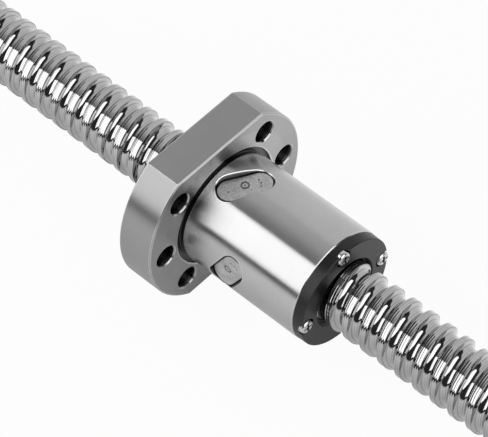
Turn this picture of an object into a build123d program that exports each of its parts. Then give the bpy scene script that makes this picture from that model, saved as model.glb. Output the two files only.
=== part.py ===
from build123d import *
from math import acos, ceil, cos, hypot, pi, radians, sin
import os

os.makedirs("parts", exist_ok=True)

# A flanged ball nut on its screw. The screw's axis is the X axis, and X = 0 is the flange
# face that bolts to a housing: the flange lies below X = 0 and the round body above it.
# Angles go about the axis from +Y towards +Z. All sizes are millimetres.

# The ball thread, right-handed, shared by the screw, the nut and the balls
lead = 5.0
screw_diameter = 16.0
ball_diameter = 3.175
ball_circle_diameter = 16.5
ball_to_screw_gap = 0.12
ball_to_nut_gap = 0.03
groove_arc_steps = 10
turns_in_a_run = 1

# The screw, cut plainly at both ends
screw_length = 200.0
screw_end_chamfer = 1.0
screw_left_end = -87.0

# The nut's flange, its bolt holes and the round body
flange_diameter = 48.0
flange_height = 40.0
flange_thickness = 9.5
flange_chamfer = 0.3
bolt_circle_diameter = 38.0
bolt_hole_diameter = 5.5
bolt_hole_chamfer = 0.25
bolt_hole_step_deg = 45.0
bolt_holes_a_side = 3
body_diameter = 28.0
body_length = 33.3
body_end_chamfer = 0.3
bore_gap = 0.3

# The grinding relief turned into the corner between the flange and the body
relief_depth = 0.9
relief_width = 0.5
relief_undercut = 0.4
relief_reach = 1.2
relief_corner = 0.2
relief_rim_chamfer = 0.2

# The ball returns: tilted inserts through the body's wall, one to each turn of balls
circuit_count = 4
first_insert_x = 6.8
first_insert_deg = 90.0
insert_length = 13.0
insert_width = 6.2
insert_tilt_deg = 31.0
insert_gap = 0.04
insert_face_height = 12.55
insert_edge_chamfer = 0.25
pocket_chamfer = 0.3
return_half_deg = 30.0
return_lift = 1.6
return_slot_gap = 0.25
return_line_steps = 4
slot_lead_in_shares = (2.0, 1.5)
balls_in_thread = 13
balls_in_return = 3

# The plastic end caps, each held by four pan-head cross-recess screws
cap_step = 0.1
cap_draft = 0.08
cap_thickness = 2.65
cap_bore_diameter = 16.9
cap_bore_chamfer_wide = 0.9
cap_bore_chamfer_deep = 0.54
cap_lip = 1.0
cap_edge_chamfer = 0.15
cap_screw_count = 4
cap_screw_inset = 0.1
cap_screw_diameter = 2.0
cap_screw_length = 4.0
cap_screw_head_diameter = 3.5
cap_screw_head_height = 1.3
cap_screw_head_rim = 0.6
cap_screw_tip_chamfer = 0.2
cap_screw_gap = 0.05
cap_pocket_depth = 0.85
cap_pocket_gap = 0.35
cap_hole_spare = 0.3
cross_length = 2.4
cross_width = 0.6
cross_depth = 0.8
cross_taper_deg = 12.0
rear_cap_depth = 0.5

# The felt wiper rings, each loose in a chamber behind its cap and dragged round by the screw
wiper_seat_depth = 2.0
wiper_seat_diameter = 21.2
wiper_side_gap = 0.12
wiper_rim_gap = 0.15
wiper_screw_gap = 0.12

# The grease port in the flange's lower flat, with its socket-head plug
port_diameter = 6.0
port_depth = 4.5
port_plug_gap = 0.03
port_plug_sink = 0.3
port_socket_size = 3.0
port_socket_depth = 2.0
port_duct_diameter = 1.6
port_duct_x = -3.2

# Sizes that follow from the driving ones
screw_radius = screw_diameter / 2
ball_radius = ball_diameter / 2
ball_circle_radius = ball_circle_diameter / 2
body_radius = body_diameter / 2
bore_radius = screw_radius + bore_gap
nut_groove_radius = ball_radius + ball_to_nut_gap
screw_groove_radius = ball_radius + ball_to_screw_gap
wiper_seat_radius = wiper_seat_diameter / 2
cap_diameter = body_diameter - 2 * cap_step
cap_screw_circle_diameter = (wiper_seat_diameter + body_diameter) / 2 - 2 * cap_screw_inset
flange_back = -flange_thickness
rear_seat = flange_back + rear_cap_depth + cap_thickness
front_wiper_floor = body_length - wiper_seat_depth
rear_wiper_floor = rear_seat + wiper_seat_depth
groove_x_at_zero = first_insert_x - lead / 2 - lead * first_insert_deg / 360
radial_cut_start = screw_radius / 2
same_size = 0.001


def across(x, facing=1):
    """The plane square to the axis at x, with its own X along +Y, facing +X or -X."""
    return Plane(origin=(x, 0, 0), x_dir=(0, 1, 0), z_dir=(facing, 0, 0))


def circuit_angle(number):
    """The angle of one ball return about the axis, a quarter turn on from the last."""
    return first_insert_deg + 360 * number / circuit_count


def circuit_x(number):
    """The place of one ball return along the axis, a turn and a quarter on from the last."""
    return first_insert_x + (lead + lead / circuit_count) * number


def circuit_plane(number):
    """The plane through the axis at one return, facing outwards, with its own X along +X."""
    angle = radians(circuit_angle(number))
    return Plane(
        origin=(circuit_x(number), 0, 0),
        x_dir=(1, 0, 0),
        z_dir=(0, cos(angle), sin(angle)),
    )


def threaded_bar(x_from, x_to, land_radius, groove_radius, side):
    """A bar with the ball thread: side is -1 for a sunk groove and 1 for a raised rib."""
    half_arc = acos(side * (land_radius - ball_circle_radius) / groove_radius)
    outline = []
    for step in range(-groove_arc_steps, groove_arc_steps + 1):
        arc = half_arc * step / groove_arc_steps
        radius = ball_circle_radius + side * groove_radius * cos(arc)
        angle = 2 * pi * groove_radius * sin(arc) / lead
        outline.append((radius * cos(angle), radius * sin(angle)))
    with BuildSketch() as section:
        with BuildLine():
            Spline(*outline)
            ThreePointArc(outline[-1], (-land_radius, 0), outline[0])
        make_face()
    run_count = ceil((x_to - x_from) / (lead * turns_in_a_run))
    run_length = (x_to - x_from) / run_count
    run = Solid.extrude_linear_with_rotation(
        section.face(), (0, 0, 0), (0, 0, run_length), 360 * run_length / lead
    )
    with BuildPart(across(x_from)) as bar:
        for step in range(run_count):
            along = run_length * step
            turned_deg = 360 * (x_from + along - groove_x_at_zero) / lead
            with Locations(Location((0, 0, along), (0, 0, turned_deg))):
                add(run)
    return bar.part


def edges_at_radius(builder, radius):
    """The edges that the last step of a builder made on the cylinder of this radius."""
    found = ShapeList()
    for edge in builder.edges(Select.LAST):
        middle = edge @ 0.5
        if abs(hypot(middle.Y, middle.Z) - radius) < same_size:
            found.append(edge)
    return found


def ball_in_thread(number, turned_deg):
    """A ball's centre in the thread, so many degrees past the middle of its return."""
    angle = radians(circuit_angle(number) + turned_deg)
    x = circuit_x(number) - lead / 2 + lead * turned_deg / 360
    return (x, ball_circle_radius * cos(angle), ball_circle_radius * sin(angle))


def return_point(share):
    """Axial offset, angle and radius on a return's centre line, for a share from -1 to 1."""
    drop = lead / 2 - lead * return_half_deg / 360
    x = -drop * sin(pi / 2 * sin(pi / 2 * share))
    radius = ball_circle_radius + return_lift * (1 - share**2)
    return x, return_half_deg * share, radius


def ball_in_return(number, share):
    """A ball's centre on its way over the screw's crest, inside a return insert."""
    x, turned_deg, radius = return_point(share)
    angle = radians(circuit_angle(number) + turned_deg)
    return (circuit_x(number) + x, radius * cos(angle), radius * sin(angle))


def insert_bar(number, spare, top):
    """A bar with an insert's outline, from inside the screw out to a height off the axis."""
    with BuildPart() as bar:
        with BuildSketch(circuit_plane(number).offset(radial_cut_start)):
            SlotOverall(
                insert_length + 2 * spare,
                insert_width + 2 * spare,
                rotation=90 - insert_tilt_deg,
            )
        extrude(amount=top - radial_cut_start)
    return bar.part


def return_slot(number):
    """The S-shaped trough in an insert's underside, with an arched roof over the crest."""
    thread_roof = ball_circle_radius + nut_groove_radius
    entry = []
    for share in slot_lead_in_shares:
        turned_deg = return_half_deg * share
        side = ball_circle_radius * sin(radians(turned_deg))
        entry.append((lead / 2 - lead * turned_deg / 360, side))
    crossing = []
    for step in range(-return_line_steps, return_line_steps + 1):
        x, turned_deg, radius = return_point(step / return_line_steps)
        crossing.append((x, -radius * sin(radians(turned_deg))))
    leaving = [(-x, -y) for x, y in reversed(entry)]
    crest = ball_circle_radius + return_lift
    end_side = ball_circle_radius * sin(radians(return_half_deg))
    end_drop = crest - ball_circle_radius * cos(radians(return_half_deg))
    arch_radius = (end_side**2 + end_drop**2) / (2 * end_drop)
    plane = circuit_plane(number)
    with BuildPart() as slot:
        with BuildSketch(plane):
            with BuildLine():
                centre_line = Spline(*entry, *crossing, *leaving)
            trace(centre_line, line_width=ball_diameter + return_slot_gap)
        extrude(amount=body_radius)
    with BuildPart() as roof:
        with BuildSketch(across(circuit_x(number) - insert_length)):
            Circle(thread_roof)
        extrude(amount=2 * insert_length)
        arch_centre = plane.origin + plane.z_dir * (crest - arch_radius)
        arch_start = arch_centre - Vector(insert_length, 0, 0)
        with BuildSketch(Plane(origin=arch_start, z_dir=(1, 0, 0))):
            Circle(arch_radius + nut_groove_radius)
        extrude(amount=2 * insert_length)
    return slot.part & roof.part


def pan_head_screw(seat_plane):
    """One cap screw: shank below the seat, domed head above it, with a cross recess."""
    with BuildPart() as screw:
        with BuildSketch(seat_plane):
            Circle(cap_screw_diameter / 2)
        extrude(amount=-cap_screw_length)
        tip = screw.faces().sort_by(Axis(seat_plane.origin, seat_plane.z_dir))[0]
        chamfer(tip.edges(), length=cap_screw_tip_chamfer)
        with BuildSketch(seat_plane):
            Circle(cap_screw_head_diameter / 2)
        extrude(amount=cap_screw_head_height)
        top = screw.faces().sort_by(Axis(seat_plane.origin, seat_plane.z_dir))[-1]
        fillet(top.edges(), radius=cap_screw_head_height - cap_screw_head_rim)
        with BuildSketch(seat_plane.offset(cap_screw_head_height)):
            Rectangle(cross_length, cross_width)
            Rectangle(cross_width, cross_length)
        extrude(amount=-cross_depth, taper=cross_taper_deg, mode=Mode.SUBTRACT)
    return screw.part


def end_cap_on(seat):
    """A cap on the plane seat, in whose local frame it is drawn, drafted to leave its mould."""
    with BuildPart() as cap:
        with Locations(seat):
            Cone(
                cap_diameter / 2,
                cap_diameter / 2 - cap_draft,
                cap_thickness,
                align=(Align.CENTER, Align.CENTER, Align.MIN),
            )
        front = cap.faces().sort_by(Axis(seat.origin, seat.z_dir))[-1]
        chamfer(front.edges(), length=cap_edge_chamfer)
        with BuildSketch(seat):
            Circle(cap_bore_diameter / 2)
        extrude(amount=cap_thickness, mode=Mode.SUBTRACT)
        front = cap.faces().sort_by(Axis(seat.origin, seat.z_dir))[-1]
        bore_edge = front.edges().sort_by(SortBy.LENGTH)[0]
        chamfer(bore_edge, length=cap_bore_chamfer_deep, length2=cap_bore_chamfer_wide)
        with BuildSketch(seat):
            Circle(wiper_seat_radius)
        extrude(amount=cap_thickness - cap_lip, mode=Mode.SUBTRACT)
        with BuildSketch(seat.offset(cap_thickness - cap_pocket_depth)):
            with PolarLocations(cap_screw_circle_diameter / 2, cap_screw_count):
                Circle(cap_screw_head_diameter / 2 + cap_pocket_gap)
        extrude(amount=cap_pocket_depth, mode=Mode.SUBTRACT)
        with BuildSketch(seat):
            with PolarLocations(cap_screw_circle_diameter / 2, cap_screw_count):
                Circle(cap_screw_diameter / 2 + cap_screw_gap)
        extrude(amount=cap_thickness, mode=Mode.SUBTRACT)
    return cap.part


front_cap_plane = across(body_length)
rear_cap_plane = across(rear_seat, facing=-1)
tapped_depth = cap_screw_length + cap_hole_spare - (cap_thickness - cap_pocket_depth)
insert_pockets = []
for number in range(circuit_count):
    insert_pockets.append(insert_bar(number, insert_gap, body_radius + insert_gap))
nut_thread_bar = threaded_bar(flange_back, body_length, bore_radius, nut_groove_radius, 1)
with BuildPart() as grease_duct:
    with BuildSketch(Plane.XY.offset(-flange_height / 2)):
        with Locations((port_duct_x, 0)):
            Circle(port_duct_diameter / 2)
    extrude(amount=flange_height / 2 - ball_circle_radius)

# Nut body: flange and body turned from one bar, with the flats milled on the flange, and
# bored through for the ball thread and the two wiper chambers
with BuildPart() as nut_body:
    with BuildSketch(across(flange_back)):
        Circle(flange_diameter / 2)
        Rectangle(flange_diameter, flange_height, mode=Mode.INTERSECT)
    extrude(amount=flange_thickness)
    chamfer(nut_body.faces().sort_by(Axis.X)[0].edges(), length=flange_chamfer)
    chamfer(nut_body.faces().sort_by(Axis.X)[-1].edges(), length=flange_chamfer)
    with BuildSketch(across(0)):
        Circle(body_radius)
    extrude(amount=body_length)
    chamfer(nut_body.faces().sort_by(Axis.X)[-1].edges(), length=body_end_chamfer)
    with BuildSketch(Plane.XY) as relief:
        relief_low = body_radius - relief_undercut
        with Locations((-relief_depth, relief_low)):
            Rectangle(
                relief_depth + relief_width,
                relief_undercut + relief_reach,
                align=(Align.MIN, Align.MIN),
            )
        fillet(relief.vertices(), radius=relief_corner)
        rim_radius = body_radius + relief_reach
        with BuildLine():
            Polyline(
                (-relief_rim_chamfer, rim_radius - relief_corner),
                (-relief_rim_chamfer, rim_radius),
                (0, rim_radius + relief_rim_chamfer),
                (0, rim_radius - relief_corner),
                close=True,
            )
        make_face()
    revolve(axis=Axis.X, mode=Mode.SUBTRACT)
    for side_deg in (0, 180):
        with BuildSketch(across(0)):
            with PolarLocations(
                bolt_circle_diameter / 2,
                bolt_holes_a_side,
                start_angle=side_deg - bolt_hole_step_deg,
                angular_range=2 * bolt_hole_step_deg,
                endpoint=True,
            ):
                Circle(bolt_hole_diameter / 2)
        extrude(amount=-flange_thickness, mode=Mode.SUBTRACT)
    rims = nut_body.edges().filter_by(GeomType.CIRCLE)
    rims = rims.filter_by(lambda rim: abs(rim.radius - bolt_hole_diameter / 2) < same_size)
    chamfer(rims, length=bolt_hole_chamfer)
    with BuildSketch(across(flange_back)):
        Circle(wiper_seat_radius)
    extrude(amount=flange_thickness + body_length, mode=Mode.SUBTRACT)
    with BuildSketch(across(flange_back)):
        Circle(cap_diameter / 2 + cap_pocket_gap)
    extrude(amount=rear_cap_depth + cap_thickness, mode=Mode.SUBTRACT)
    for seat in (front_cap_plane, rear_cap_plane):
        with BuildSketch(seat):
            with PolarLocations(cap_screw_circle_diameter / 2, cap_screw_count):
                Circle(cap_screw_diameter / 2 + cap_screw_gap)
        extrude(amount=-tapped_depth, mode=Mode.SUBTRACT)
    with BuildSketch(Plane.XY.offset(-flange_height / 2)):
        with Locations((flange_back / 2, 0)):
            Circle(port_diameter / 2)
    extrude(amount=port_depth, mode=Mode.SUBTRACT)
    add(grease_duct.part, mode=Mode.SUBTRACT)
    for pocket in insert_pockets:
        add(pocket, mode=Mode.SUBTRACT)
        chamfer(edges_at_radius(nut_body, body_radius), length=pocket_chamfer)
nut_body.part.label = "nut_body"
export_step(nut_body.part, "parts/nut_body.step")

# Nut thread: the hardened ball track, a sleeve between the two wiper chambers. It is one
# piece of steel with the body in a real nut, and is a solid of its own here.
with BuildPart() as nut_thread:
    with BuildSketch(across(rear_wiper_floor)):
        Circle(wiper_seat_radius)
    extrude(amount=front_wiper_floor - rear_wiper_floor)
    add(nut_thread_bar, mode=Mode.SUBTRACT)
    add(grease_duct.part, mode=Mode.SUBTRACT)
    add(insert_pockets, mode=Mode.SUBTRACT)
nut_thread.part.label = "nut_thread"
export_step(nut_thread.part, "parts/nut_thread.step")

# Screw shaft: round bar with the rolled ball groove along its whole length
screw_right_end = screw_left_end + screw_length
screw_bar = threaded_bar(
    screw_left_end, screw_right_end, screw_radius, screw_groove_radius, -1
)
with BuildPart() as screw_shaft:
    add(screw_bar)
    with BuildSketch(Plane.XY):
        for end_x, inwards in ((screw_left_end, 1), (screw_right_end, -1)):
            with BuildLine():
                Polyline(
                    (end_x + inwards * screw_end_chamfer, screw_radius),
                    (end_x, screw_radius - screw_end_chamfer),
                    (end_x - inwards * screw_end_chamfer, screw_radius - screw_end_chamfer),
                    (end_x - inwards * screw_end_chamfer, screw_radius + screw_end_chamfer),
                    (end_x + inwards * screw_end_chamfer, screw_radius + screw_end_chamfer),
                    close=True,
                )
            make_face()
    revolve(axis=Axis.X, mode=Mode.SUBTRACT)
screw_shaft.part.label = "screw_shaft"
export_step(screw_shaft.part, "parts/screw_shaft.step")

# Return inserts: each lifts the balls over the crest and sends them back one turn
for number in range(circuit_count):
    slot = return_slot(number)
    outline_bar = insert_bar(number, 0, insert_face_height)
    outwards = Axis(circuit_plane(number).origin, circuit_plane(number).z_dir)
    with BuildPart() as return_insert:
        add(outline_bar)
        outer_face = return_insert.faces().sort_by(outwards)[-1]
        chamfer(outer_face.edges(), length=insert_edge_chamfer)
        with BuildSketch(across(circuit_x(number) - insert_length)):
            Circle(bore_radius)
        extrude(amount=2 * insert_length, mode=Mode.SUBTRACT)
        add(slot, mode=Mode.SUBTRACT)
    return_insert.part.label = f"return_insert_{number + 1}"
    export_step(return_insert.part, f"parts/return_insert_{number + 1}.step")

# Balls: one closed train to each return, most in the thread and a few in the insert
thread_deg = 360 - 2 * return_half_deg
for number in range(circuit_count):
    centres = []
    for step in range(balls_in_thread):
        turned_deg = return_half_deg + thread_deg * (step + 0.5) / balls_in_thread
        centres.append(ball_in_thread(number, turned_deg))
    for step in range(balls_in_return):
        centres.append(ball_in_return(number, (2 * step + 1) / balls_in_return - 1))
    with BuildPart() as ball_circuit:
        with Locations(*centres):
            Sphere(ball_radius)
    ball_circuit.part.label = f"ball_circuit_{number + 1}"
    export_step(ball_circuit.part, f"parts/ball_circuit_{number + 1}.step")

# End caps and their screws, the same at both ends, the rear ones sunk in the flange
for end_name, seat in (("front", front_cap_plane), ("rear", rear_cap_plane)):
    end_cap = end_cap_on(seat)
    end_cap.label = f"{end_name}_cap"
    export_step(end_cap, f"parts/{end_name}_cap.step")
    screws = []
    for step in range(cap_screw_count):
        angle = radians(360 * step / cap_screw_count)
        side = Vector(0, cos(angle), sin(angle)) * (cap_screw_circle_diameter / 2)
        under_head = seat.offset(cap_thickness - cap_pocket_depth)
        screws.append(pan_head_screw(under_head.shift_origin(under_head.origin + side)))
    with BuildPart() as cap_screws:
        add(screws)
    cap_screws.part.label = f"{end_name}_cap_screws"
    export_step(cap_screws.part, f"parts/{end_name}_cap_screws.step")

# Wiper rings: felt, a running fit on the screw's crests, captive behind each cap
for end_name, seat in (("front", front_cap_plane), ("rear", rear_cap_plane)):
    with BuildPart() as wiper_ring:
        with BuildSketch(seat.offset(wiper_side_gap - wiper_seat_depth)):
            Circle(wiper_seat_radius - wiper_rim_gap)
            Circle(screw_radius + wiper_screw_gap, mode=Mode.SUBTRACT)
        extrude(amount=wiper_seat_depth + cap_thickness - cap_lip - 2 * wiper_side_gap)
    wiper_ring.part.label = f"{end_name}_wiper"
    export_step(wiper_ring.part, f"parts/{end_name}_wiper.step")

# Grease plug: a short set screw that closes the port until a fitting goes in
with BuildPart() as grease_plug:
    plug_outside = -flange_height / 2 + port_plug_sink
    with BuildSketch(Plane.XY.offset(plug_outside)):
        with Locations((flange_back / 2, 0)):
            Circle(port_diameter / 2 - port_plug_gap)
    extrude(amount=port_depth - port_plug_sink)
    with BuildSketch(Plane.XY.offset(plug_outside)):
        with Locations((flange_back / 2, 0)):
            RegularPolygon(port_socket_size / 2, 6, major_radius=False)
    extrude(amount=port_socket_depth, mode=Mode.SUBTRACT)
grease_plug.part.label = "grease_plug"
export_step(grease_plug.part, "parts/grease_plug.step")
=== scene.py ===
import math

import bmesh
import bpy
from mathutils import Matrix, Vector


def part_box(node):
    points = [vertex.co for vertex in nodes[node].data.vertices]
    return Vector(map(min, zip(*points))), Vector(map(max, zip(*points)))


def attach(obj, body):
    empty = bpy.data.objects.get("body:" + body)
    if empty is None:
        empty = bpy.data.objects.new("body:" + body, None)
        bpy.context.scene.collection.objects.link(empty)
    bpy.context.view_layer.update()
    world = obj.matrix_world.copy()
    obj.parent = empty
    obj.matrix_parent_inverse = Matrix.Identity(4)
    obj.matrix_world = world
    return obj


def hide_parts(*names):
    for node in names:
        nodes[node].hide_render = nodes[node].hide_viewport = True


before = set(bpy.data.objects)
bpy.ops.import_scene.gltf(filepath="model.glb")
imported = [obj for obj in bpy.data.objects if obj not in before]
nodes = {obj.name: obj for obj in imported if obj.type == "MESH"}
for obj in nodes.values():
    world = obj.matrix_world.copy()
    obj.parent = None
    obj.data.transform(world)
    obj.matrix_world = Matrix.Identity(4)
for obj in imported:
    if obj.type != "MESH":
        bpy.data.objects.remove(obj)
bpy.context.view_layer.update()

# The camera stands in front of the nut's capped end, above it and to its left, and looks
# down at the place where the screw's axis leaves the flange.
camera_data = bpy.data.cameras.new("photo_camera")
camera_data.sensor_width = 36.0
camera_data.lens = 223.31
camera_data.clip_start = 0.01
camera = bpy.data.objects.new("photo_camera", camera_data)
bpy.context.scene.collection.objects.link(camera)
picture_right = Vector((0.72484, 0.68755, -0.04326))
picture_up = Vector((-0.52822, 0.59499, 0.60578))
towards_camera = Vector((0.44225, -0.41625, 0.79445))
camera_turn = Matrix((picture_right, picture_up, towards_camera)).transposed().to_4x4()
camera_place = Vector((0.30253, -0.27939, 0.53342))
camera.matrix_world = Matrix.Translation(camera_place) @ camera_turn
bpy.context.scene.camera = camera
bpy.context.scene.view_settings.view_transform = "Standard"


# The studio: a pale floor under the flange's lower flat, a long soft box beside the nut, and
# a grey tent overhead that only polished metal shows, so that its bands have an edge.
def add_node(material_or_world, kind, settings=None, **inputs):
    """A shader node with its settings and its unlinked or linked inputs."""
    tree = material_or_world.node_tree
    made = tree.nodes.new("ShaderNode" + kind)
    for name, value in (settings or {}).items():
        setattr(made, name, value)
    for name, value in inputs.items():
        found = None
        for socket in made.inputs:
            if socket.enabled and socket.name.replace(" ", "_") == name:
                found = socket
                break
        if found is None:
            found = made.inputs[int(name.strip("_"))]
        if isinstance(value, bpy.types.NodeSocket):
            tree.links.new(value, found)
        else:
            found.default_value = value
    return made


def new_material(name):
    """An empty node material, with only its output."""
    material = bpy.data.materials.new(name)
    material.use_nodes = True
    for old in list(material.node_tree.nodes):
        if old.type != "OUTPUT_MATERIAL":
            material.node_tree.nodes.remove(old)
    return material


def finish_surface(owner, shader):
    """Joins the last shader to the output of its material or world."""
    for end in owner.node_tree.nodes:
        if end.type in ("OUTPUT_MATERIAL", "OUTPUT_WORLD"):
            owner.node_tree.links.new(shader.outputs[0], end.inputs["Surface"])


def seen_background(owner, in_metal=1.0):
    """How much of a background is seen: 1 straight or through glass, and a share in metal."""
    path = add_node(owner, "LightPath")
    glossy = path.outputs["Is Glossy Ray"]
    metal = add_node(owner, "Math", {"operation": "MULTIPLY"}, _0=glossy, _1=in_metal).outputs[0]
    either = add_node(owner, "Math", {"operation": "MAXIMUM"}, _0=path.outputs["Is Camera Ray"], _1=metal)
    clear = path.outputs["Is Transmission Ray"]
    return add_node(owner, "Math", {"operation": "MAXIMUM"}, _0=either.outputs[0], _1=clear).outputs[0]


def paint_colours(owner, value, stops):
    """A colour ramp over a value, from (place, grey) stops."""
    ramp = add_node(owner, "ValToRGB", None, Fac=value)
    elements = ramp.color_ramp.elements
    while len(elements) < len(stops):
        elements.new(0.5)
    for element, (place, grey) in zip(elements, stops):
        element.position = place
        element.color = (grey, grey, grey, 1.0) if isinstance(grey, float) else (*grey, 1.0)
    return ramp.outputs["Color"]


def deselect_all():
    """Leaves nothing selected, so that an operator acts on the new piece alone."""
    for selected in list(bpy.context.selected_objects):
        selected.select_set(False)


floor_height = -0.020
floor_size = 8.0
reflection_glow_reach = 0.3
white_share = 0.95
deselect_all()
bpy.ops.mesh.primitive_plane_add(size=floor_size, location=(0, 0, floor_height))
floor = bpy.context.object
floor.name = "floor"
floor_paint = new_material("pale_floor_paint")
place = add_node(floor_paint, "TexCoord").outputs["Object"]
cloud = add_node(floor_paint, "TexNoise", None, Vector=place, Scale=6.0, Detail=3.0)
tint = paint_colours(floor_paint, cloud.outputs[0], [(0.3, 0.86), (0.7, 0.9)])
matt = add_node(floor_paint, "BsdfDiffuse", None, Color=tint)
glow = add_node(floor_paint, "Emission", None, Color=(1, 1, 1, 1), Strength=1.0)
floor_parts = add_node(floor_paint, "SeparateXYZ", None, Vector=place)
sideways = add_node(
    floor_paint, "MapRange", None,
    Value=floor_parts.outputs[1], From_Min=-reflection_glow_reach, From_Max=reflection_glow_reach,
).outputs[0]
# Painted reflection: in metal the floor glows by how far it lies to either side, near black far out to -Y
# and again just beside the nut on that side, brightest just to +Y of it.
reflection_glow = paint_colours(
    floor_paint, sideways,
    [
        (0.0, 0.04), (0.06, 0.06), (0.11, 0.66), (0.3, 0.55), (0.42, 0.3), (0.467, 0.1), (0.5, 0.3),
        (0.54, 1.0), (0.6, 0.9), (0.67, 0.6), (1.0, 0.5),
    ],
)
seen = seen_background(floor_paint, reflection_glow)
share = add_node(floor_paint, "Math", {"operation": "MULTIPLY"}, _0=seen, _1=white_share).outputs[0]
floor_mix = add_node(floor_paint, "MixShader", None, Fac=share, _1=matt.outputs[0], _2=glow.outputs[0])
finish_surface(floor_paint, floor_mix)
floor.data.materials.append(floor_paint)

world = bpy.data.worlds.new("studio_air")
bpy.context.scene.world = world
world.use_nodes = True
for old in list(world.node_tree.nodes):
    if old.type != "OUTPUT_WORLD":
        world.node_tree.nodes.remove(old)
shade = add_node(world, "Background", None, Color=(1, 1, 1, 1), Strength=0.5)
white = add_node(world, "Background", None, Color=(1, 1, 1, 1), Strength=1.0)
air = add_node(
    world, "MixShader", None, Fac=seen_background(world), _1=shade.outputs[0], _2=white.outputs[0]
)
finish_surface(world, air)

tent_radius = 1.5
tent_length = 7.0
deselect_all()
bpy.ops.mesh.primitive_cylinder_add(
    vertices=96, radius=tent_radius, depth=tent_length,
    end_fill_type="NOTHING", rotation=(0, math.pi / 2, 0),
)
tent = bpy.context.object
tent.name = "overhead_tent"
bpy.ops.object.transform_apply(rotation=True)
tent.visible_camera = False
tent.visible_diffuse = False
tent.visible_shadow = False
tent_cloth = new_material("tent_cloth")
place = add_node(tent_cloth, "TexCoord").outputs["Object"]
parts = add_node(tent_cloth, "SeparateXYZ", None, Vector=place)
bearing = add_node(tent_cloth, "Math", {"operation": "ARCTAN2"}, _0=parts.outputs[2], _1=parts.outputs[1])
turned = add_node(
    tent_cloth, "MapRange", None, Value=bearing.outputs[0], From_Min=0.0, From_Max=math.pi
).outputs[0]
tent_greys = [
    (0.0, 0.78), (0.23, 0.74), (0.33, 0.76), (0.41, 0.72), (0.455, 0.64),
    (0.5, 0.47), (0.545, 0.34), (0.57, 0.3), (0.6, 0.1), (0.625, 0.03), (0.64, 0.2),
    (0.918, 0.20), (0.924, 0.01), (1.0, 0.01),
]
tent_bands = paint_colours(tent_cloth, turned, tent_greys)
spread = add_node(tent_cloth, "VectorMath", {"operation": "LENGTH"}, _0=place).outputs["Value"]
lean = add_node(tent_cloth, "Math", {"operation": "DIVIDE"}, _0=parts.outputs[0], _1=spread).outputs[0]
lean = add_node(tent_cloth, "Math", {"operation": "MULTIPLY_ADD"}, _0=lean, _1=0.5, _2=0.5).outputs[0]
black_from = [
    (0.0, 0.925), (0.045, 0.75), (0.11, 0.72), (0.145, 0.66), (0.25, 0.585), (0.28, 0.535),
    (0.305, 0.475), (0.333, 0.4), (0.367, 0.335), (0.578, 0.335), (0.61, 0.375), (0.655, 0.47),
    (0.83, 0.44), (0.92, 0.39), (0.97, 0.35), (1.0, 0.35),
]
black_edge = paint_colours(tent_cloth, turned, black_from)
in_black = add_node(tent_cloth, "Math", {"operation": "SUBTRACT"}, _0=lean, _1=black_edge).outputs[0]
in_black = add_node(
    tent_cloth, "MapRange", None, Value=in_black, From_Min=-0.01, From_Max=0.04, To_Min=0.0, To_Max=1.0
).outputs[0]
white_from = [
    (0.0, 1.0), (0.22, 1.0), (0.233, 0.885), (0.25, 0.86), (0.278, 0.79), (0.3, 0.74),
    (0.32, 0.7), (0.61, 0.685), (0.667, 0.74), (0.694, 0.79),
    (0.75, 0.85), (0.78, 0.88), (0.805, 0.91), (0.83, 1.0), (1.0, 1.0),
]
white_edge = paint_colours(tent_cloth, turned, white_from)
in_white = add_node(tent_cloth, "Math", {"operation": "SUBTRACT"}, _0=lean, _1=white_edge).outputs[0]
in_white = add_node(
    tent_cloth, "MapRange", None, Value=in_white, From_Min=-0.01, From_Max=0.01, To_Min=0.0, To_Max=1.0
).outputs[0]
white_end = add_node(
    tent_cloth, "MapRange", None, Value=lean, From_Min=0.94, From_Max=0.96, To_Min=1.0, To_Max=0.0
).outputs[0]
in_white = add_node(tent_cloth, "Math", {"operation": "MULTIPLY"}, _0=in_white, _1=white_end).outputs[0]
tent_colour = add_node(
    tent_cloth, "Mix", {"data_type": "RGBA"}, _0=in_black, _6=tent_bands, _7=(0.03, 0.03, 0.03, 1)
).outputs[2]
tent_colour = add_node(
    tent_cloth, "Mix", {"data_type": "RGBA"}, _0=in_white, _6=tent_colour, _7=(2.2, 2.2, 2.2, 1)
).outputs[2]
tent_shine = add_node(tent_cloth, "Emission", None, Color=tent_colour, Strength=1.0)
finish_surface(tent_cloth, tent_shine)
tent_cloth.cycles.emission_sampling = "NONE"
tent.data.materials.append(tent_cloth)

box_bearing = math.radians(139.5)
box_distance = 0.8
box_half_angle = math.radians(29.0)
box_wide = 2 * box_distance * math.tan(box_half_angle)
box_long = 1.0
box_middle_x = -0.62
box_brightness = 1.95
lamp_data = bpy.data.lights.new("soft_box", "AREA")
lamp_data.shape = "RECTANGLE"
lamp_data.size = box_long
lamp_data.size_y = box_wide
lamp_data.energy = box_brightness * math.pi * box_long * box_wide
lamp = bpy.data.objects.new("soft_box", lamp_data)
bpy.context.scene.collection.objects.link(lamp)
box_side = Vector((0, math.cos(box_bearing), math.sin(box_bearing)))
along_axis = Vector((1, 0, 0))
box_turn = Matrix((along_axis, box_side.cross(along_axis), box_side)).transposed().to_4x4()
box_place = box_side * box_distance + Vector((box_middle_x, 0, 0))
lamp.matrix_world = Matrix.Translation(box_place) @ box_turn
lamp.visible_camera = False


# The screw: bar steel with the ball groove rolled into it cold and polished after, so it
# shines like a mirror. It is cut off plainly at both ends with a small chamfer.
def edit_new(kind, **place_and_size):
    """Adds one primitive and opens it in edit mode with all of it selected."""
    deselect_all()
    getattr(bpy.ops.mesh, f"primitive_{kind}_add")(**place_and_size)
    bpy.ops.object.mode_set(mode="EDIT")
    return bpy.context.object


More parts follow.
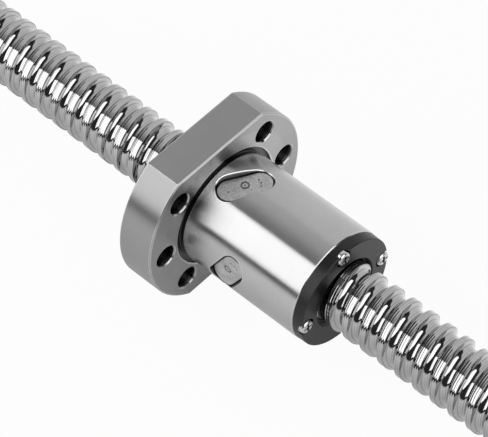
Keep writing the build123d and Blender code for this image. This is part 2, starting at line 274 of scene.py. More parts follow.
def pick(piece, wanted, of="verts"):
    """Selects in edit mode the vertices, edges or faces whose middle the test accepts."""
    shape = bmesh.from_edit_mesh(piece.data)
    bpy.ops.mesh.select_all(action="DESELECT")
    bpy.context.tool_settings.mesh_select_mode = (of == "verts", of == "edges", of == "faces")
    for element in getattr(shape, of):
        if of == "verts":
            middle = element.co
        elif of == "edges":
            middle = (element.verts[0].co + element.verts[1].co) / 2
        else:
            middle = element.calc_center_median()
        element.select = bool(wanted(middle))
    if of == "verts":
        shape.select_flush(True)
    bmesh.update_edit_mesh(piece.data)


def apply_all(piece):
    """Applies the piece's place and every modifier, so that its mesh holds them."""
    deselect_all()
    piece.select_set(True)
    bpy.context.view_layer.objects.active = piece
    bpy.ops.object.transform_apply(location=True, rotation=True, scale=True)
    for modifier in list(piece.modifiers):
        bpy.ops.object.modifier_apply(modifier=modifier.name)


def dress(piece, material):
    """Gives a piece one material in all of its slots."""
    piece.data.materials.clear()
    piece.data.materials.append(material)


lead = 0.005
screw_radius = 0.008
groove_radius = 0.0017075
groove_centre_radius = 0.00825
screw_ends = (-0.087, 0.113)
groove_start_x = 0.0043
turns_before_start = 19
groove_middle_x = groove_start_x - turns_before_start * lead
thread_turns = 43
steps_in_a_turn = 64
groove_segments = 44
groove_edge_round = 0.0001
crest_lip_width = 0.00032
crest_lip_round = 0.00012
crest_dip = 0.00005
screw_shaft = edit_new(
    "circle", vertices=groove_segments, radius=groove_radius,
    location=(groove_middle_x, 0, groove_centre_radius), rotation=(math.pi / 2, 0, 0),
)
bpy.ops.object.mode_set(mode="OBJECT")
bpy.ops.object.transform_apply(location=True, rotation=True, scale=True)
bpy.ops.object.mode_set(mode="EDIT")
pick(screw_shaft, lambda v: v.z > screw_radius - 0.00002)
bpy.ops.mesh.delete(type="VERT")
groove_half = math.sqrt(groove_radius**2 - (groove_centre_radius - screw_radius) ** 2)
for side in (-1, 1):
    shape = bmesh.from_edit_mesh(screw_shaft.data)
    rim_x = max(side * (v.co.x - groove_middle_x) for v in shape.verts)
    rim = [v.co.copy() for v in shape.verts if abs(side * (v.co.x - groove_middle_x) - rim_x) < 1e-6]
    top = max(rim, key=lambda co: co.z)
    pick(screw_shaft, lambda v: (v - top).length < 1e-7)
    corner = Vector((groove_middle_x + side * groove_half, 0, screw_radius))
    bpy.ops.mesh.extrude_region_move(TRANSFORM_OT_translate={"value": corner - top})
    lip = Vector((groove_middle_x + side * (groove_half + crest_lip_width), 0, screw_radius - crest_dip))
    bpy.ops.mesh.extrude_region_move(TRANSFORM_OT_translate={"value": lip - corner})
    land_end = Vector((groove_middle_x + side * lead / 2, 0, screw_radius - crest_dip))
    bpy.ops.mesh.extrude_region_move(TRANSFORM_OT_translate={"value": land_end - lip})
pick(
    screw_shaft,
    lambda v: abs(abs(v.x - groove_middle_x) - groove_half) < 1e-6 and v.z > screw_radius - 1e-6,
)
bpy.ops.mesh.bevel(offset=groove_edge_round, segments=3, affect="VERTICES")
lip_x = groove_half + crest_lip_width
pick(screw_shaft, lambda v: abs(abs(v.x - groove_middle_x) - lip_x) < 1e-6)
bpy.ops.mesh.bevel(offset=crest_lip_round, segments=2, affect="VERTICES")
bpy.ops.object.mode_set(mode="OBJECT")
thread = screw_shaft.modifiers.new("thread", "SCREW")
thread.axis = "X"
thread.screw_offset = lead
thread.iterations = thread_turns
thread.steps = steps_in_a_turn
thread.render_steps = steps_in_a_turn
thread.use_merge_vertices = False
apply_all(screw_shaft)
bpy.ops.object.mode_set(mode="EDIT")
bpy.ops.mesh.select_all(action="SELECT")
bpy.ops.mesh.remove_doubles(threshold=0.00001)
for end_x, facing in zip(screw_ends, (-1, 1)):
    bpy.ops.mesh.select_all(action="SELECT")
    bpy.ops.mesh.bisect(
        plane_co=(end_x, 0, 0), plane_no=(facing, 0, 0), use_fill=True, clear_outer=True, threshold=0.000001
    )
end_chamfer = 0.001
shape = bmesh.from_edit_mesh(screw_shaft.data)
for vertex in shape.verts:
    inwards = min(vertex.co.x - screw_ends[0], screw_ends[1] - vertex.co.x)
    radius = math.hypot(vertex.co.y, vertex.co.z)
    allowed = screw_radius - end_chamfer + max(inwards, 0.0)
    if radius > allowed:
        vertex.co.y *= allowed / radius
        vertex.co.z *= allowed / radius
bmesh.update_edit_mesh(screw_shaft.data)
bpy.ops.mesh.select_all(action="SELECT")
bpy.ops.mesh.normals_make_consistent(inside=False)
bpy.ops.object.mode_set(mode="OBJECT")
bpy.ops.object.shade_smooth_by_angle(angle=math.radians(40))
screw_shaft.name = "screw_shaft_polished"

rolled_steel = new_material("rolled_and_polished_steel")
place = add_node(rolled_steel, "TexCoord").outputs["Object"]
parts = add_node(rolled_steel, "SeparateXYZ", None, Vector=place)
turned = add_node(rolled_steel, "Math", {"operation": "ARCTAN2"}, _0=parts.outputs[2], _1=parts.outputs[1])
turned = add_node(
    rolled_steel, "Math", {"operation": "DIVIDE"}, _0=turned.outputs[0], _1=2 * math.pi
).outputs[0]
leads = add_node(rolled_steel, "Math", {"operation": "DIVIDE"}, _0=parts.outputs[0], _1=lead).outputs[0]
groove_phase = 0.61
phase = add_node(rolled_steel, "Math", {"operation": "SUBTRACT"}, _0=leads, _1=turned).outputs[0]
phase = add_node(rolled_steel, "Math", {"operation": "SUBTRACT"}, _0=phase, _1=groove_phase - 0.5).outputs[0]
phase = add_node(rolled_steel, "Math", {"operation": "FRACT"}, _0=phase).outputs[0]
drift = add_node(rolled_steel, "TexNoise", None, Vector=place, Scale=130.0, Detail=2.0)
lines_in_lead = 9
broad_lines_in_lead = 3
line_angle = add_node(
    rolled_steel, "Math", {"operation": "MULTIPLY"}, _0=phase, _1=2 * math.pi * lines_in_lead
).outputs[0]
line_angle = add_node(
    rolled_steel, "Math", {"operation": "MULTIPLY_ADD"}, _0=drift.outputs[0], _1=5.0, _2=line_angle
).outputs[0]
roll_lines = add_node(rolled_steel, "Math", {"operation": "SINE"}, _0=line_angle).outputs[0]
broad_angle = add_node(
    rolled_steel, "Math", {"operation": "MULTIPLY_ADD"},
    _0=phase, _1=2 * math.pi * broad_lines_in_lead, _2=1.0,
).outputs[0]
broad_lines = add_node(rolled_steel, "Math", {"operation": "SINE"}, _0=broad_angle).outputs[0]
roll_lines = add_node(
    rolled_steel, "Math", {"operation": "MULTIPLY_ADD"}, _0=roll_lines, _1=0.32, _2=0.5
).outputs[0]
roll_lines = add_node(
    rolled_steel, "Math", {"operation": "MULTIPLY_ADD"}, _0=broad_lines, _1=0.1, _2=roll_lines
).outputs[0]
smudge = add_node(rolled_steel, "TexNoise", None, Vector=place, Scale=160.0, Detail=4.0, Roughness=0.6)
specks = add_node(rolled_steel, "TexVoronoi", None, Vector=place, Scale=900.0)
speck_mask = paint_colours(rolled_steel, specks.outputs["Distance"], [(0.03, 0.82), (0.1, 1.0)])
steel_tint = paint_colours(
    rolled_steel, smudge.outputs[0], [(0.35, (0.50, 0.50, 0.50)), (0.65, (0.58, 0.58, 0.585))]
)
steel_colour = add_node(
    rolled_steel, "Mix", {"data_type": "RGBA", "blend_type": "MULTIPLY"},
    _6=steel_tint, _7=speck_mask, _0=0.5,
).outputs[2]
from_middle = add_node(
    rolled_steel, "Math", {"operation": "SUBTRACT"},
    _0=parts.outputs[0], _1=(screw_ends[0] + screw_ends[1]) / 2,
).outputs[0]
from_middle = add_node(rolled_steel, "Math", {"operation": "ABSOLUTE"}, _0=from_middle).outputs[0]
half_length = (screw_ends[1] - screw_ends[0]) / 2
end_skin = 0.00002
along_thread = add_node(
    rolled_steel, "Math", {"operation": "LESS_THAN"}, _0=from_middle, _1=half_length - end_skin
).outputs[0]
off_axis = add_node(
    rolled_steel, "CombineXYZ", None, X=0.0, Y=parts.outputs[1], Z=parts.outputs[2]
).outputs[0]
off_axis = add_node(rolled_steel, "VectorMath", {"operation": "LENGTH"}, _0=off_axis).outputs["Value"]
facing_place = add_node(
    rolled_steel, "CombineXYZ", None, X=off_axis, Y=parts.outputs[1], Z=parts.outputs[2]
).outputs[0]
facing_place = add_node(
    rolled_steel, "Mapping", None, Vector=facing_place, Scale=(7000.0, 130.0, 130.0)
).outputs[0]
facing_marks = add_node(
    rolled_steel, "TexNoise", None, Vector=facing_place, Scale=1.0, Detail=3.0
).outputs[0]
roll_lines = add_node(
    rolled_steel, "Mix", {"data_type": "FLOAT"}, _0=along_thread, _2=facing_marks, _3=roll_lines
).outputs[0]
line_tint = paint_colours(rolled_steel, roll_lines, [(0.1, 0.6), (0.25, 0.8), (0.4, 0.97), (1.0, 1.0)])
steel_colour = add_node(
    rolled_steel, "Mix", {"data_type": "RGBA", "blend_type": "MULTIPLY"},
    _6=steel_colour, _7=line_tint, _0=1.0,
).outputs[2]
gloss = add_node(
    rolled_steel, "MapRange", None,
    Value=smudge.outputs[0], From_Min=0.3, From_Max=0.7, To_Min=0.05, To_Max=0.12,
).outputs[0]
line_share = paint_colours(
    rolled_steel, phase, [(0.15, 1.0), (0.2, 0.08), (0.5, 0.1), (0.56, 0.45), (0.8, 0.6), (0.84, 1.0)]
)
line_share = add_node(
    rolled_steel, "Mix", {"data_type": "FLOAT"}, _0=along_thread, _2=0.12, _3=line_share
).outputs[0]
gloss = add_node(rolled_steel, "Mix", {"data_type": "FLOAT"}, _0=along_thread, _2=0.28, _3=gloss).outputs[0]
fine_lines = add_node(
    rolled_steel, "Bump", None, Strength=line_share, Distance=0.000035, Height=roll_lines
).outputs[0]
polish = add_node(
    rolled_steel, "BsdfPrincipled", None,
    Base_Color=steel_colour, Metallic=1.0, Roughness=gloss, Normal=fine_lines,
)
finish_surface(rolled_steel, polish)
dress(screw_shaft, rolled_steel)
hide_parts("screw_shaft")
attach(screw_shaft, "screw")


# The nut's body and the ball thread inside it: one bar of bearing steel, turned, hardened
# and ground. Its round skin has fine rings from the wheel and its faces have turning marks.
def distance_off(owner, parts, first, second):
    """Distance off the nearer of two lines along the axis, the same in all four quarters."""
    side_ways = add_node(owner, "Math", {"operation": "ABSOLUTE"}, _0=parts.outputs[1]).outputs[0]
    up_down = add_node(owner, "Math", {"operation": "ABSOLUTE"}, _0=parts.outputs[2]).outputs[0]
    folded = add_node(owner, "CombineXYZ", None, X=0.0, Y=side_ways, Z=up_down).outputs[0]
    found = []
    for line in (first, second):
        off = add_node(owner, "VectorMath", {"operation": "DISTANCE"}, _0=folded, _1=(0.0, *line))
        found.append(off.outputs["Value"])
    return add_node(owner, "Math", {"operation": "MINIMUM"}, _0=found[0], _1=found[1]).outputs[0]


bolt_circle_radius = 0.019
bolt_hole_diagonal = bolt_circle_radius * math.sqrt(0.5)
bolt_hole_wall = (0.00277, 0.00282)
bolt_hole_shade = (-0.0004, -0.0012)
flange_inner_edge = (0.0145, 0.0152)
flange_rim_inside = 0.0195
pocket_off_axis = (0.0122, 0.01389)
pocket_along = (0.0006, 0.0325)
relief_off_axis = (0.0134, 0.0152)
relief_along = (-0.0012, -0.00008)
neck_off_axis = (0.0134, 0.0139)
neck_along = (-0.0002, 0.00055)
relief_rim_highlight_off_axis = (0.01518, 0.01548)
relief_rim_highlight_along = (-0.0004, 0.0002)
edge_wear_width = 0.0003
ground_steel = new_material("turned_and_ground_steel")
place = add_node(ground_steel, "TexCoord").outputs["Object"]
facing = add_node(ground_steel, "TexCoord").outputs["Normal"]
parts = add_node(ground_steel, "SeparateXYZ", None, Vector=place)
side_parts = add_node(ground_steel, "SeparateXYZ", None, Vector=facing)
across = add_node(ground_steel, "CombineXYZ", None, X=0.0, Y=parts.outputs[1], Z=parts.outputs[2]).outputs[0]
off_axis = add_node(ground_steel, "VectorMath", {"operation": "LENGTH"}, _0=across).outputs["Value"]
ring_place = add_node(
    ground_steel, "CombineXYZ", None, X=off_axis, Y=parts.outputs[1], Z=parts.outputs[2]
).outputs[0]
skin_lines = add_node(ground_steel, "Mapping", None, Vector=place, Scale=(9000.0, 120.0, 120.0)).outputs[0]
face_lines = add_node(
    ground_steel, "Mapping", None, Vector=ring_place, Scale=(9000.0, 150.0, 150.0)
).outputs[0]
is_face = add_node(ground_steel, "Math", {"operation": "ABSOLUTE"}, _0=side_parts.outputs[0]).outputs[0]
is_face = add_node(ground_steel, "Math", {"operation": "GREATER_THAN"}, _0=is_face, _1=0.8).outputs[0]
lines_place = add_node(
    ground_steel, "Mix", {"data_type": "VECTOR"}, _0=is_face, _4=skin_lines, _5=face_lines
).outputs[1]
wheel_lines = add_node(
    ground_steel, "TexNoise", None, Vector=lines_place, Scale=1.0, Detail=4.0, Roughness=0.7
)
patches = add_node(ground_steel, "TexNoise", None, Vector=place, Scale=90.0, Detail=5.0, Roughness=0.55)
edge_normal = add_node(ground_steel, "Bevel", {"samples": 6}, Radius=edge_wear_width).outputs[0]
flat_normal = add_node(ground_steel, "NewGeometry").outputs["Normal"]
edge_match = add_node(
    ground_steel, "VectorMath", {"operation": "DOT_PRODUCT"}, _0=edge_normal, _1=flat_normal
).outputs["Value"]
edge_wear = add_node(
    ground_steel, "MapRange", None, Value=edge_match, From_Min=0.995, From_Max=0.93, To_Min=0.0, To_Max=1.0
).outputs[0]
steel_tint = paint_colours(
    ground_steel, patches.outputs[0], [(0.3, (0.55, 0.55, 0.548)), (0.7, (0.61, 0.61, 0.61))]
)
on_flange = add_node(
    ground_steel, "MapRange", None,
    Value=off_axis, From_Min=flange_inner_edge[0], From_Max=flange_inner_edge[1],
).outputs[0]
flange_tint = add_node(
    ground_steel, "Mix", {"data_type": "RGBA", "blend_type": "MULTIPLY"},
    _0=on_flange, _6=steel_tint, _7=(0.73, 0.73, 0.73, 1),
).outputs[2]
wear_and_painted_light_tint = add_node(
    ground_steel, "Mix", {"data_type": "RGBA"}, _0=edge_wear, _6=flange_tint, _7=(0.9, 0.9, 0.9, 1)
).outputs[2]
# Painted shade: the walls of the flange's bolt holes turn near black from a little below its face inwards.
# The running tint also carries the real wear on the edges.
nearest_hole = distance_off(
    ground_steel, parts, (bolt_circle_radius, 0.0), (bolt_hole_diagonal, bolt_hole_diagonal)
)
in_hole = add_node(
    ground_steel, "MapRange", None,
    Value=nearest_hole, From_Min=bolt_hole_wall[0], From_Max=bolt_hole_wall[1], To_Min=1.0, To_Max=0.0,
).outputs[0]
down_hole = add_node(
    ground_steel, "MapRange", None,
    Value=parts.outputs[0], From_Min=bolt_hole_shade[0], From_Max=bolt_hole_shade[1],
).outputs[0]
in_hole = add_node(ground_steel, "Math", {"operation": "MULTIPLY"}, _0=in_hole, _1=down_hole).outputs[0]
wear_and_painted_light_tint = add_node(
    ground_steel, "Mix", {"data_type": "RGBA"}, _0=in_hole, _6=wear_and_painted_light_tint, _7=(0.07, 0.07, 0.07, 1)
).outputs[2]


def between(owner, value, low, high, soft):
    """A mask that is 1 where a value lies between two bounds, with soft ends."""
    rising = add_node(owner, "MapRange", None, Value=value, From_Min=low, From_Max=low + soft)
    falling = add_node(owner, "MapRange", None, Value=value, From_Min=high, From_Max=high - soft)
    return add_node(
        owner, "Math", {"operation": "MULTIPLY"}, _0=rising.outputs[0], _1=falling.outputs[0]
    ).outputs[0]


# Painted shade: the insert pockets' walls, the relief groove by the flange and the neck beside it are made
# near black.
in_pocket = add_node(
    ground_steel, "Math", {"operation": "MULTIPLY"},
    _0=between(ground_steel, off_axis, *pocket_off_axis, 0.00006),
    _1=between(ground_steel, parts.outputs[0], *pocket_along, 0.00002),
).outputs[0]
in_relief = add_node(
    ground_steel, "Math", {"operation": "MULTIPLY"},
    _0=between(ground_steel, off_axis, *relief_off_axis, 0.00004),
    _1=between(ground_steel, parts.outputs[0], *relief_along, 0.0001),
).outputs[0]
neck = add_node(
    ground_steel, "Math", {"operation": "MULTIPLY"},
    _0=between(ground_steel, off_axis, *neck_off_axis, 0.00004),
    _1=between(ground_steel, parts.outputs[0], *neck_along, 0.00005),
).outputs[0]
recess = add_node(ground_steel, "Math", {"operation": "MAXIMUM"}, _0=in_relief, _1=neck).outputs[0]
recess = add_node(ground_steel, "Math", {"operation": "MAXIMUM"}, _0=recess, _1=in_pocket).outputs[0]
wear_and_painted_light_tint = add_node(
    ground_steel, "Mix", {"data_type": "RGBA"}, _0=recess, _6=wear_and_painted_light_tint, _7=(0.09, 0.09, 0.09, 1)
).outputs[2]
# Painted highlight: a thin ring at the relief groove's outer rim is made nearly white.
relief_rim_highlight = add_node(
    ground_steel, "Math", {"operation": "MULTIPLY"},
    _0=between(ground_steel, off_axis, *relief_rim_highlight_off_axis, 0.00003),
    _1=between(ground_steel, parts.outputs[0], *relief_rim_highlight_along, 0.00002),
).outputs[0]
wear_and_painted_light_tint = add_node(
    ground_steel, "Mix", {"data_type": "RGBA"}, _0=relief_rim_highlight, _6=wear_and_painted_light_tint, _7=(0.95, 0.95, 0.95, 1)
).outputs[2]
line_tint = paint_colours(ground_steel, wheel_lines.outputs[0], [(0.3, 0.93), (0.7, 1.0)])
steel_colour = add_node(
    ground_steel, "Mix", {"data_type": "RGBA", "blend_type": "MULTIPLY"}, _0=1.0, _6=wear_and_painted_light_tint, _7=line_tint
).outputs[2]
gloss = add_node(
    ground_steel, "MapRange", None,
    Value=patches.outputs[0], From_Min=0.3, From_Max=0.7, To_Min=0.23, To_Max=0.28,
).outputs[0]
is_outer = add_node(
    ground_steel, "Math", {"operation": "GREATER_THAN"}, _0=off_axis, _1=flange_rim_inside
).outputs[0]
for mask, rougher in ((is_outer, 0.1), (edge_wear, -0.08)):
    gloss = add_node(
        ground_steel, "Math", {"operation": "MULTIPLY_ADD"}, _0=mask, _1=rougher, _2=gloss
    ).outputs[0]
wheel_grain = add_node(
    ground_steel, "Mix", {"data_type": "VECTOR"}, _0=is_face, _4=(1.0, 0.0, 0.0), _5=across
).outputs[1]
wheel_grain = add_node(ground_steel, "VectorMath", {"operation": "NORMALIZE"}, _0=wheel_grain).outputs[0]
wheel_bump = add_node(
    ground_steel, "Bump", None, Strength=0.13, Distance=0.000015, Height=wheel_lines.outputs[0]
).outputs[0]
ground = add_node(
    ground_steel, "BsdfPrincipled", None, Base_Color=steel_colour, Metallic=1.0, Roughness=gloss,
    Anisotropic=0.88, Tangent=wheel_grain, Normal=wheel_bump,
)
finish_surface(ground_steel, ground)
for name in ("nut_body", "nut_thread"):
    dress(nodes[name], ground_steel)


# The four return inserts: sintered steel, duller than the body, with the grain of the powder
# still on their faces and a plain ring and dots punched in as position marks. Each fits
# closely in a slanted pocket through the body's wall, with a line of painted shade round its
# edge for the gap.
insert_tilt = math.radians(59)
insert_straight_half = 0.0034
insert_edge_shade = (0.0028, 0.00292)
punch_edge = (0.00032, 0.0001)
punch_ring = (0.0001, 0.0005, 0.00085)
punch_dots = ((0.0001, 0.0005), (0.0034, 0.0010), (0.0036, 0.0001), (0.0034, -0.0008), (-0.0039, -0.0003))
for number in (1, 2, 3, 4):
    insert_steel = new_material(f"sintered_insert_steel_{number}")
    place = add_node(insert_steel, "TexCoord").outputs["Object"]
    grain = add_node(insert_steel, "TexNoise", None, Vector=place, Scale=2800.0, Detail=3.0, Roughness=0.7)
    pits = add_node(insert_steel, "TexVoronoi", None, Vector=place, Scale=2600.0)
    stain = add_node(insert_steel, "TexNoise", None, Vector=place, Scale=420.0, Detail=4.0)
    stain_tint = paint_colours(
        insert_steel, stain.outputs[0], [(0.35, (0.68, 0.68, 0.675)), (0.65, (0.84, 0.84, 0.835))]
    )
    pit_tint = paint_colours(insert_steel, pits.outputs["Distance"], [(0.05, 0.55), (0.3, 1.0)])
    insert_colour = add_node(
        insert_steel, "Mix", {"data_type": "RGBA", "blend_type": "MULTIPLY"},
        _0=0.6, _6=stain_tint, _7=pit_tint,
    ).outputs[2]
    grain_tint = paint_colours(insert_steel, grain.outputs[0], [(0.36, 0.66), (0.6, 1.0)])
    insert_colour = add_node(
        insert_steel, "Mix", {"data_type": "RGBA", "blend_type": "MULTIPLY"},
        _0=1.0, _6=insert_colour, _7=grain_tint,
    ).outputs[2]
    low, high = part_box(f"return_insert_{number}")
    side = math.radians(90 * number)
    out_of_face = Vector((0, math.cos(side), math.sin(side)))
    round_body = out_of_face.cross(along_axis)
    along_face = along_axis * math.cos(insert_tilt) + round_body * math.sin(insert_tilt)
    across_face = out_of_face.cross(along_face)
    middle = ((low.x + high.x) / 2, 0, 0)
    from_middle = add_node(
        insert_steel, "VectorMath", {"operation": "SUBTRACT"}, _0=place, _1=middle
    ).outputs[0]
    lengthways = add_node(
        insert_steel, "VectorMath", {"operation": "DOT_PRODUCT"}, _0=from_middle, _1=tuple(along_face)
    ).outputs["Value"]
    crossways = add_node(
        insert_steel, "VectorMath", {"operation": "DOT_PRODUCT"}, _0=from_middle, _1=tuple(across_face)
    ).outputs["Value"]
    on_face = add_node(insert_steel, "CombineXYZ", None, X=lengthways, Y=crossways, Z=0.0).outputs[0]
    ring_x, ring_y, ring_radius = punch_ring
    off_ring = add_node(
        insert_steel, "VectorMath", {"operation": "DISTANCE"}, _0=on_face, _1=(ring_x, ring_y, 0)
    ).outputs["Value"]
    off_ring = add_node(
        insert_steel, "Math", {"operation": "SUBTRACT"}, _0=off_ring, _1=ring_radius
    ).outputs[0]
    off_mark = add_node(insert_steel, "Math", {"operation": "ABSOLUTE"}, _0=off_ring).outputs[0]
    for dot_x, dot_y in punch_dots:
        off_dot = add_node(
            insert_steel, "VectorMath", {"operation": "DISTANCE"}, _0=on_face, _1=(dot_x, dot_y, 0)
        ).outputs["Value"]
        off_mark = add_node(
            insert_steel, "Math", {"operation": "MINIMUM"}, _0=off_mark, _1=off_dot
        ).outputs[0]
    past_end = add_node(insert_steel, "Math", {"operation": "ABSOLUTE"}, _0=lengthways).outputs[0]
    past_end = add_node(
        insert_steel, "Math", {"operation": "SUBTRACT"}, _0=past_end, _1=insert_straight_half
    ).outputs[0]
    past_end = add_node(insert_steel, "Math", {"operation": "MAXIMUM"}, _0=past_end, _1=0.0).outputs[0]
    off_line = add_node(insert_steel, "CombineXYZ", None, X=past_end, Y=crossways, Z=0.0).outputs[0]
    off_line = add_node(insert_steel, "VectorMath", {"operation": "LENGTH"}, _0=off_line).outputs["Value"]
    # Painted shade: a near-black line round the insert's edge, where the gap to its pocket lies.
    joint_shade = add_node(
        insert_steel, "MapRange", None, Value=off_line, From_Min=insert_edge_shade[0], From_Max=insert_edge_shade[1]
    ).outputs[0]
    punched = add_node(
        insert_steel, "MapRange", None, Value=off_mark, From_Min=punch_edge[0], From_Max=punch_edge[1]
    ).outputs[0]
    insert_colour = add_node(
        insert_steel, "Mix", {"data_type": "RGBA"}, _0=punched, _6=insert_colour, _7=(0.22, 0.22, 0.22, 1)
    ).outputs[2]
    insert_colour = add_node(
        insert_steel, "Mix", {"data_type": "RGBA"}, _0=joint_shade, _6=insert_colour, _7=(0.06, 0.06, 0.06, 1)
    ).outputs[2]
    grain_height = add_node(
        insert_steel, "Math", {"operation": "ADD"}, _0=grain.outputs[0], _1=pits.outputs["Distance"]
    ).outputs[0]
    grain_height = add_node(
        insert_steel, "Math", {"operation": "MULTIPLY_ADD"}, _0=punched, _1=-2.0, _2=grain_height
    ).outputs[0]
    grain_bump = add_node(
        insert_steel, "Bump", None, Strength=0.6, Distance=0.00009, Height=grain_height
    ).outputs[0]
    insert_gloss = add_node(
        insert_steel, "MapRange", None, Value=grain.outputs[0],
        From_Min=0.3, From_Max=0.7, To_Min=0.33, To_Max=0.48,
    ).outputs[0]
    sintered = add_node(
        insert_steel, "BsdfPrincipled", None,
        Base_Color=insert_colour, Metallic=1.0, Roughness=insert_gloss, Normal=grain_bump,
    )
    finish_surface(insert_steel, sintered)
    dress(nodes[f"return_insert_{number}"], insert_steel)


# The balls: lapped bearing steel with a film of oil, in four closed trains of sixteen that
# lie between the screw's groove and the nut's.
ball_steel = new_material("lapped_ball_steel")
place = add_node(ball_steel, "TexCoord").outputs["Object"]
oil = add_node(ball_steel, "TexNoise", None, Vector=place, Scale=500.0, Detail=4.0)
oil_tint = paint_colours(
    ball_steel, oil.outputs[0], [(0.35, (0.60, 0.59, 0.57)), (0.65, (0.70, 0.70, 0.70))]
)
oil_gloss = add_node(
    ball_steel, "MapRange", None, Value=oil.outputs[0], From_Min=0.3, From_Max=0.7, To_Min=0.04, To_Max=0.14
).outputs[0]
oil_bump = add_node(
    ball_steel, "Bump", None, Strength=0.05, Distance=0.00001, Height=oil.outputs[0]
).outputs[0]
lapped = add_node(
    ball_steel, "BsdfPrincipled", None,
    Base_Color=oil_tint, Metallic=1.0, Roughness=oil_gloss, Normal=oil_bump,
)
finish_surface(ball_steel, lapped)
for number in (1, 2, 3, 4):
    dress(nodes[f"ball_circuit_{number}"], ball_steel)


# The two end caps: black moulded plastic with a fine spark-eroded grain. Each closes its
# end of the nut over the wiper and is held by four small screws.
cap_edge_width = 0.0002
cap_plastic = new_material("black_moulded_plastic")
place = add_node(cap_plastic, "TexCoord").outputs["Object"]
mould_grain = add_node(cap_plastic, "TexNoise", None, Vector=place, Scale=5200.0, Detail=2.0)
flow = add_node(cap_plastic, "TexNoise", None, Vector=place, Scale=260.0, Detail=5.0)
plastic_tint = paint_colours(
    cap_plastic, flow.outputs[0], [(0.3, (0.004, 0.004, 0.0043)), (0.7, (0.009, 0.009, 0.0093))]
)
edge_normal = add_node(cap_plastic, "Bevel", {"samples": 6}, Radius=cap_edge_width).outputs[0]
flat_normal = add_node(cap_plastic, "NewGeometry").outputs["Normal"]
edge_match = add_node(
    cap_plastic, "VectorMath", {"operation": "DOT_PRODUCT"}, _0=edge_normal, _1=flat_normal
).outputs["Value"]
edge_rub = add_node(
    cap_plastic, "MapRange", None, Value=edge_match, From_Min=0.995, From_Max=0.9, To_Min=0.0, To_Max=0.6
).outputs[0]
plastic_colour = add_node(
    cap_plastic, "Mix", {"data_type": "RGBA"}, _0=edge_rub, _6=plastic_tint, _7=(0.09, 0.09, 0.09, 1)
).outputs[2]
plastic_gloss = add_node(
    cap_plastic, "MapRange", None, Value=mould_grain.outputs[0],
    From_Min=0.3, From_Max=0.7, To_Min=0.3, To_Max=0.4,
).outputs[0]
plastic_bump = add_node(
    cap_plastic, "Bump", None, Strength=0.25, Distance=0.00002, Height=mould_grain.outputs[0]
).outputs[0]
moulded = add_node(
    cap_plastic, "BsdfPrincipled", None,
    Base_Color=plastic_colour, Roughness=plastic_gloss, Specular_IOR_Level=0.42, Normal=plastic_bump,
)
finish_surface(cap_plastic, moulded)
for name in ("front_cap", "rear_cap"):
    dress(nodes[name], cap_plastic)


# The cap screws: small pan heads of cold-headed steel, zinc plated, with a cross recess.
# Four hold each cap, a quarter turn apart, and the recess is painted near black as shade.
cap_screw_circle_radius = 0.0122
heads_middle_x = 0.013475
recess_off_middle = (0.02282, 0.0226)
cross_reach = 0.00128
screw_plating = new_material("bright_zinc_plating")
place = add_node(screw_plating, "TexCoord").outputs["Object"]
zinc = add_node(screw_plating, "TexNoise", None, Vector=place, Scale=1500.0, Detail=4.0)
zinc_tint = paint_colours(
    screw_plating, zinc.outputs[0], [(0.35, (0.58, 0.585, 0.59)), (0.65, (0.72, 0.72, 0.72))]
)
parts = add_node(screw_plating, "SeparateXYZ", None, Vector=place)
off_screw = distance_off(
    screw_plating, parts, (cap_screw_circle_radius, 0.0), (0.0, cap_screw_circle_radius)
)
from_middle = add_node(
    screw_plating, "Math", {"operation": "SUBTRACT"}, _0=parts.outputs[0], _1=heads_middle_x
).outputs[0]
from_middle = add_node(screw_plating, "Math", {"operation": "ABSOLUTE"}, _0=from_middle).outputs[0]
sunk = add_node(
    screw_plating, "MapRange", None,
    Value=from_middle, From_Min=recess_off_middle[0], From_Max=recess_off_middle[1],
).outputs[0]
inside = add_node(
    screw_plating, "Math", {"operation": "LESS_THAN"}, _0=off_screw, _1=cross_reach
).outputs[0]
cross_shade = add_node(screw_plating, "Math", {"operation": "MULTIPLY"}, _0=sunk, _1=inside).outputs[0]
# Painted shade: the cross recess in each head is made near black.
zinc_tint = add_node(
    screw_plating, "Mix", {"data_type": "RGBA"}, _0=cross_shade, _6=zinc_tint, _7=(0.03, 0.03, 0.03, 1)
).outputs[2]
zinc_gloss = add_node(
    screw_plating, "MapRange", None,
    Value=zinc.outputs[0], From_Min=0.3, From_Max=0.7, To_Min=0.16, To_Max=0.28,
).outputs[0]
zinc_bump = add_node(
    screw_plating, "Bump", None, Strength=0.2, Distance=0.00002, Height=zinc.outputs[0]
).outputs[0]
plated = add_node(
    screw_plating, "BsdfPrincipled", None,
    Base_Color=zinc_tint, Metallic=1.0, Roughness=zinc_gloss, Normal=zinc_bump,
)
finish_surface(screw_plating, plated)
for name in ("front_cap_screws", "rear_cap_screws"):
    dress(nodes[name], screw_plating)


# The grease plug: a short socket set screw with a black oxide skin. It closes the grease
# port in the flange's lower flat, a little below the surface.
plug_steel = new_material("black_oxide_steel")
place = add_node(plug_steel, "TexCoord").outputs["Object"]
oxide = add_node(plug_steel, "TexNoise", None, Vector=place, Scale=1100.0, Detail=5.0)
oxide_tint = paint_colours(
    plug_steel, oxide.outputs[0], [(0.3, (0.035, 0.034, 0.036)), (0.7, (0.085, 0.083, 0.082))]
)
oxide_gloss = add_node(
    plug_steel, "MapRange", None, Value=oxide.outputs[0], From_Min=0.3, From_Max=0.7, To_Min=0.3, To_Max=0.48
).outputs[0]
oxide_bump = add_node(
    plug_steel, "Bump", None, Strength=0.2, Distance=0.00002, Height=oxide.outputs[0]
).outputs[0]
oxidised = add_node(
    plug_steel, "BsdfPrincipled", None,
    Base_Color=oxide_tint, Metallic=0.9, Roughness=oxide_gloss, Normal=oxide_bump,
)
finish_surface(plug_steel, oxidised)
dress(nodes["grease_plug"], plug_steel)


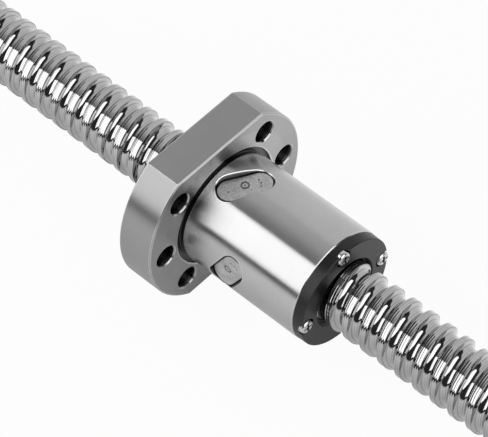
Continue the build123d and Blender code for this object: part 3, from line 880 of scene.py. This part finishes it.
# The wipers: rings of hard black felt behind the caps, soaked in oil and rubbed smooth on
# the inside by the screw's crests.
felt_to_screw_gap = 0.00012
felt_outer_round = 0.0005
felt_inner_round = 0.00035
felt = new_material("oiled_black_felt")
place = add_node(felt, "TexCoord").outputs["Object"]
fibres = add_node(
    felt, "TexNoise", None, Vector=place, Scale=3800.0, Detail=6.0, Roughness=0.75, Distortion=1.2
)
felt_tint = paint_colours(
    felt, fibres.outputs[0], [(0.3, (0.012, 0.012, 0.012)), (0.7, (0.06, 0.058, 0.055))]
)
felt_bump = add_node(felt, "Bump", None, Strength=0.9, Distance=0.00012, Height=fibres.outputs[0]).outputs[0]
felt_gloss = add_node(
    felt, "MapRange", None, Value=fibres.outputs[0], From_Min=0.3, From_Max=0.7, To_Min=0.75, To_Max=0.95
).outputs[0]
felted = add_node(
    felt, "BsdfPrincipled", None,
    Base_Color=felt_tint, Roughness=felt_gloss, Normal=felt_bump, Sheen_Weight=0.3,
)
finish_surface(felt, felted)
for name in ("front_wiper", "rear_wiper"):
    low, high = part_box(name)
    outer = high.y
    inner = screw_radius + felt_to_screw_gap
    thickness = high.x - low.x
    ring = edit_new("cylinder", vertices=96, radius=outer, depth=thickness, end_fill_type="NGON")
    pick(ring, lambda v: abs(math.hypot(v.x, v.y)) < outer / 2, "faces")
    bpy.ops.mesh.inset(thickness=outer - inner)
    bpy.ops.mesh.bridge_edge_loops()
    at_face = thickness * 0.49
    pick(ring, lambda v: math.hypot(v.x, v.y) > outer * 0.98 and abs(v.z) > at_face, "edges")
    bpy.ops.mesh.bevel(offset=felt_outer_round, segments=4, profile=0.5)
    pick(ring, lambda v: math.hypot(v.x, v.y) < inner * 1.02 and abs(v.z) > at_face, "edges")
    bpy.ops.mesh.bevel(offset=felt_inner_round, segments=4, profile=0.5)
    bpy.ops.mesh.select_all(action="SELECT")
    bpy.ops.mesh.remove_doubles(threshold=0.000001)
    bpy.ops.mesh.normals_make_consistent(inside=False)
    bpy.ops.object.mode_set(mode="OBJECT")
    ring.rotation_euler = (0, math.pi / 2, 0)
    ring.location = ((low.x + high.x) / 2, 0, 0)
    apply_all(ring)
    bpy.ops.object.shade_smooth_by_angle(angle=math.radians(40))
    ring.name = f"{name}_felt"
    dress(ring, felt)
    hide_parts(name)
    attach(ring, "wipers")
